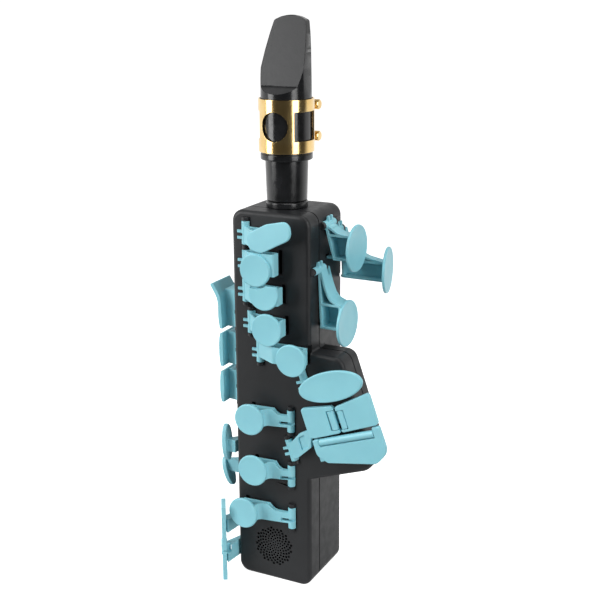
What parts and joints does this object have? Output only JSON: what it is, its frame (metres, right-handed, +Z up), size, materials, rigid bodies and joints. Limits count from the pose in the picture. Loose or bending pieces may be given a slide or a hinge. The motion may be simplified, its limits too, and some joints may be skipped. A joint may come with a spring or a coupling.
{
  "type": "digital wind controller",
  "caption": "Box-shaped electronic saxophone with a standing housing, side wing, sprung lever keys, rollers and a saxophone mouthpiece on a corked neck.",
  "frame": {"origin": "centre of the bottom face, where the housing stands", "axes": "+Z up along the body towards the mouthpiece, -Y out of the front face with the main keys, +X towards the side with the wing and the palm keys"},
  "size_m": [0.1071, 0.0682, 0.3],
  "materials": {
    "shell": "satin moulded black ABS with a fine texture",
    "key": "satin moulded turquoise ABS",
    "board": "green solder mask on glass-fibre laminate",
    "chip": "black moulded component bodies",
    "cell": "shrink wrap over cells",
    "steel": "nickel-plated steel",
    "brass": "polished and lacquered brass",
    "ebonite": "polished black hard rubber",
    "cork": "fine-grained cork",
    "cane": "planed cane with long fibres",
    "rubber": "soft matt black rubber",
    "tube": "clear silicone hose"
  },
  "bodies": {
    "housing": {"front_shell": "shell", "rear_shell": "shell", "main_board": "board", "battery_pack": "cell", "speaker_driver": "chip", "case_screw_1": "steel", "case_screw_2": "steel", "case_screw_3": "steel", "case_screw_4": "steel", "case_screw_5": "steel", "case_screw_6": "steel", "usb_socket": "steel", "headphone_socket": "chip", "socket_board": "board", "thumb_rest": "rubber", "thumb_hook": "rubber", "strap_ring": "steel", "neck_collar": "ebonite", "neck_tenon": "ebonite", "neck_cork": "cork", "breath_sensor": "chip", "breath_tube": "tube"},
    "front_f_key": {"front_f_key": "key"},
    "b_key": {"b_key": "key"},
    "bis_key": {"bis_key": "key"},
    "a_key": {"a_key": "key"},
    "g_key": {"g_key": "key"},
    "f_key": {"f_key": "key"},
    "e_key": {"e_key": "key"},
    "d_key": {"d_key": "key"},
    "g_sharp_key": {"g_sharp_key": "key"},
    "c_sharp_key": {"c_sharp_key": "key"},
    "low_b_key": {"low_b_key": "key"},
    "low_b_flat_key": {"low_b_flat_key": "key"},
    "palm_d_key": {"palm_d_key": "key"},
    "palm_e_flat_key": {"palm_e_flat_key": "key"},
    "palm_f_key": {"palm_f_key": "key"},
    "side_e_key": {"side_e_key": "key"},
    "side_c_key": {"side_c_key": "key"},
    "side_b_flat_key": {"side_b_flat_key": "key"},
    "high_f_sharp_key": {"high_f_sharp_key": "key"},
    "trill_key": {"trill_key": "key"},
    "low_e_flat_key": {"low_e_flat_key": "key"},
    "low_c_key": {"low_c_key": "key"},
    "octave_key": {"octave_key": "key"},
    "c_sharp_roller": {"c_sharp_roller": "key"},
    "low_b_roller": {"low_b_roller": "key"},
    "low_b_flat_roller": {"low_b_flat_roller": "key"},
    "low_e_flat_roller": {"low_e_flat_roller": "key"},
    "low_c_roller": {"low_c_roller": "key"},
    "power_button": {"power_button": "rubber"},
    "volume_up_button": {"volume_up_button": "rubber"},
    "volume_down_button": {"volume_down_button": "rubber"},
    "mouthpiece": {"mouthpiece": "ebonite", "reed": "cane"},
    "ligature": {"ligature": "brass"},
    "lower_ligature_screw": {"lower_ligature_screw": "brass"},
    "upper_ligature_screw": {"upper_ligature_screw": "brass"}
  },
  "joints": [
    {"name": "front_f_key_press", "type": "hinge", "parent": "housing", "child": "front_f_key", "pos_m": [-0.01369, -0.01945, 0.19373], "axis": [0, 0, 1], "range_deg": [0, 5.47], "stiffness_Nm_per_rad": 0.03, "springref_deg": -14.32},
    {"name": "b_key_press", "type": "hinge", "parent": "housing", "child": "b_key", "pos_m": [-0.01369, -0.01945, 0.17876], "axis": [0, 0, 1], "range_deg": [0, 9.08], "stiffness_Nm_per_rad": 0.03, "springref_deg": -14.32},
    {"name": "bis_key_press", "type": "hinge", "parent": "housing", "child": "bis_key", "pos_m": [-0.01391, -0.01945, 0.16359], "axis": [0, 0, 1], "range_deg": [0, 6.14], "stiffness_Nm_per_rad": 0.03, "springref_deg": -14.32},
    {"name": "a_key_press", "type": "hinge", "parent": "housing", "child": "a_key", "pos_m": [-0.01121, -0.01945, 0.14699], "axis": [0, 0, 1], "range_deg": [0, 6.71], "stiffness_Nm_per_rad": 0.03, "springref_deg": -14.32},
    {"name": "g_key_press", "type": "hinge", "parent": "housing", "child": "g_key", "pos_m": [-0.00629, -0.01945, 0.13169], "axis": [0, 0, 1], "range_deg": [0, 4.08], "stiffness_Nm_per_rad": 0.03, "springref_deg": -14.32},
    {"name": "f_key_press", "type": "hinge", "parent": "housing", "child": "f_key", "pos_m": [0.0113, -0.01945, 0.09541], "axis": [0, 0, -1], "range_deg": [0, 4.58], "stiffness_Nm_per_rad": 0.03, "springref_deg": -14.32},
    {"name": "e_key_press", "type": "hinge", "parent": "housing", "child": "e_key", "pos_m": [0.0113, -0.01945, 0.06439], "axis": [0, 0, -1], "range_deg": [0, 4.94], "stiffness_Nm_per_rad": 0.03, "springref_deg": -14.32},
    {"name": "d_key_press", "type": "hinge", "parent": "housing", "child": "d_key", "pos_m": [0.01139, -0.01945, 0.03979], "axis": [0, 0, -1], "range_deg": [0, 3.66], "stiffness_Nm_per_rad": 0.03, "springref_deg": -14.32},
    {"name": "g_sharp_key_press", "type": "hinge", "parent": "housing", "child": "g_sharp_key", "pos_m": [0.01949, -0.01945, 0.11837], "axis": [-0.3316, 0, 0.9434], "range_deg": [0, 3.73], "stiffness_Nm_per_rad": 0.03, "springref_deg": -14.32},
    {"name": "c_sharp_key_press", "type": "hinge", "parent": "housing", "child": "c_sharp_key", "pos_m": [0.01169, -0.01945, 0.07938], "axis": [-0.3316, 0, 0.9434], "range_deg": [0, 2.76], "stiffness_Nm_per_rad": 0.03, "springref_deg": -14.32},
    {"name": "low_b_key_press", "type": "hinge", "parent": "housing", "child": "low_b_key", "pos_m": [0.02629, -0.01945, 0.09903], "axis": [-0.3316, 0, 0.9434], "range_deg": [0, 2.56], "stiffness_Nm_per_rad": 0.03, "springref_deg": -14.32},
    {"name": "low_b_flat_key_press", "type": "hinge", "parent": "housing", "child": "low_b_flat_key", "pos_m": [0.0316, -0.01945, 0.08393], "axis": [-0.3316, 0, 0.9434], "range_deg": [0, 3.83], "stiffness_Nm_per_rad": 0.03, "springref_deg": -14.32},
    {"name": "palm_d_key_press", "type": "hinge", "parent": "housing", "child": "palm_d_key", "pos_m": [0.02235, 0.00219, 0.19742], "axis": [0, 1, 0], "range_deg": [0, 4.37], "stiffness_Nm_per_rad": 0.03, "springref_deg": -14.32},
    {"name": "palm_e_flat_key_press", "type": "hinge", "parent": "housing", "child": "palm_e_flat_key", "pos_m": [0.02235, 0.01232, 0.19209], "axis": [0, 1, 0], "range_deg": [0, 2.6], "stiffness_Nm_per_rad": 0.03, "springref_deg": -14.32},
    {"name": "palm_f_key_press", "type": "hinge", "parent": "housing", "child": "palm_f_key", "pos_m": [0.02235, -0.0097, 0.17599], "axis": [0, 1, 0], "range_deg": [0, 2.57], "stiffness_Nm_per_rad": 0.03, "springref_deg": -14.32},
    {"name": "side_e_key_press", "type": "hinge", "parent": "housing", "child": "side_e_key", "pos_m": [-0.02235, -0.01386, 0.14904], "axis": [0, 0, -1], "range_deg": [0, 5.86], "stiffness_Nm_per_rad": 0.03, "springref_deg": -14.32},
    {"name": "side_c_key_press", "type": "hinge", "parent": "housing", "child": "side_c_key", "pos_m": [-0.02235, -0.01386, 0.12679], "axis": [0, 0, -1], "range_deg": [0, 5.86], "stiffness_Nm_per_rad": 0.03, "springref_deg": -14.32},
    {"name": "side_b_flat_key_press", "type": "hinge", "parent": "housing", "child": "side_b_flat_key", "pos_m": [-0.02235, -0.01386, 0.10588], "axis": [0, 0, -1], "range_deg": [0, 5.86], "stiffness_Nm_per_rad": 0.03, "springref_deg": -14.32},
    {"name": "high_f_sharp_key_press", "type": "hinge", "parent": "housing", "child": "high_f_sharp_key", "pos_m": [-0.02235, -0.00385, 0.07298], "axis": [0, 0, 1], "range_deg": [0, 7.47], "stiffness_Nm_per_rad": 0.03, "springref_deg": -14.32},
    {"name": "trill_key_press", "type": "hinge", "parent": "housing", "child": "trill_key", "pos_m": [-0.02235, 0.00308, 0.0575], "axis": [0, 0, 1], "range_deg": [0, 7.86], "stiffness_Nm_per_rad": 0.03, "springref_deg": -14.32},
    {"name": "low_e_flat_key_press", "type": "hinge", "parent": "housing", "child": "low_e_flat_key", "pos_m": [-0.02235, -0.012, 0.02993], "axis": [0, 0, 1], "range_deg": [0, 5.38], "stiffness_Nm_per_rad": 0.03, "springref_deg": -14.32},
    {"name": "low_c_key_press", "type": "hinge", "parent": "housing", "child": "low_c_key", "pos_m": [-0.02235, -0.012, 0.01302], "axis": [0, 0, 1], "range_deg": [0, 5.38], "stiffness_Nm_per_rad": 0.03, "springref_deg": -14.32},
    {"name": "octave_key_press", "type": "hinge", "parent": "housing", "child": "octave_key", "pos_m": [0, 0.01945, 0.16], "axis": [1, 0, 0], "range_deg": [0, 6.52], "stiffness_Nm_per_rad": 0.03, "springref_deg": -14.32},
    {"name": "c_sharp_roller_spin", "type": "hinge", "parent": "c_sharp_key", "child": "c_sharp_roller", "pos_m": [0.03857, -0.02585, 0.10329], "axis": [-0.3316, 0, 0.9434], "continuous": true},
    {"name": "low_b_roller_spin", "type": "hinge", "parent": "low_b_key", "child": "low_b_roller", "pos_m": [0.04395, -0.02585, 0.10471], "axis": [-0.3316, 0, 0.9434], "continuous": true},
    {"name": "low_b_flat_roller_spin", "type": "hinge", "parent": "low_b_flat_key", "child": "low_b_flat_roller", "pos_m": [0.04607, -0.02585, 0.0949], "axis": [0.9434, 0, 0.3316], "continuous": true},
    {"name": "low_e_flat_roller_spin", "type": "hinge", "parent": "low_e_flat_key", "child": "low_e_flat_roller", "pos_m": [-0.02606, -0.02843, 0.02025], "axis": [0.5145, -0.8575, 0], "continuous": true},
    {"name": "low_c_roller_spin", "type": "hinge", "parent": "low_c_key", "child": "low_c_roller", "pos_m": [-0.02606, -0.02843, 0.01571], "axis": [0.5145, -0.8575, 0], "continuous": true},
    {"name": "power_button_press", "type": "slide", "parent": "housing", "child": "power_button", "axis": [0, -1, 0], "range_m": [0, 0.0006], "stiffness_N_per_m": 800, "springref_m": -0.001},
    {"name": "volume_up_button_press", "type": "slide", "parent": "housing", "child": "volume_up_button", "axis": [0, -1, 0], "range_m": [0, 0.0006], "stiffness_N_per_m": 800, "springref_m": -0.001},
    {"name": "volume_down_button_press", "type": "slide", "parent": "housing", "child": "volume_down_button", "axis": [0, -1, 0], "range_m": [0, 0.0006], "stiffness_N_per_m": 800, "springref_m": -0.001},
    {"name": "mouthpiece_slide", "type": "slide", "parent": "housing", "child": "mouthpiece", "axis": [0, 0, 1], "range_m": [0, 0.024]},
    {"name": "ligature_slide", "type": "slide", "parent": "mouthpiece", "child": "ligature", "axis": [0, 0, 1], "range_m": [0, 0.03]},
    {"name": "lower_ligature_screw_turn", "type": "hinge", "parent": "ligature", "child": "lower_ligature_screw", "pos_m": [0, 0.0161, 0.2395], "axis": [1, 0, 0], "continuous": true},
    {"name": "upper_ligature_screw_turn", "type": "hinge", "parent": "ligature", "child": "upper_ligature_screw", "pos_m": [0, 0.0161, 0.2555], "axis": [1, 0, 0], "continuous": true}
  ]
}
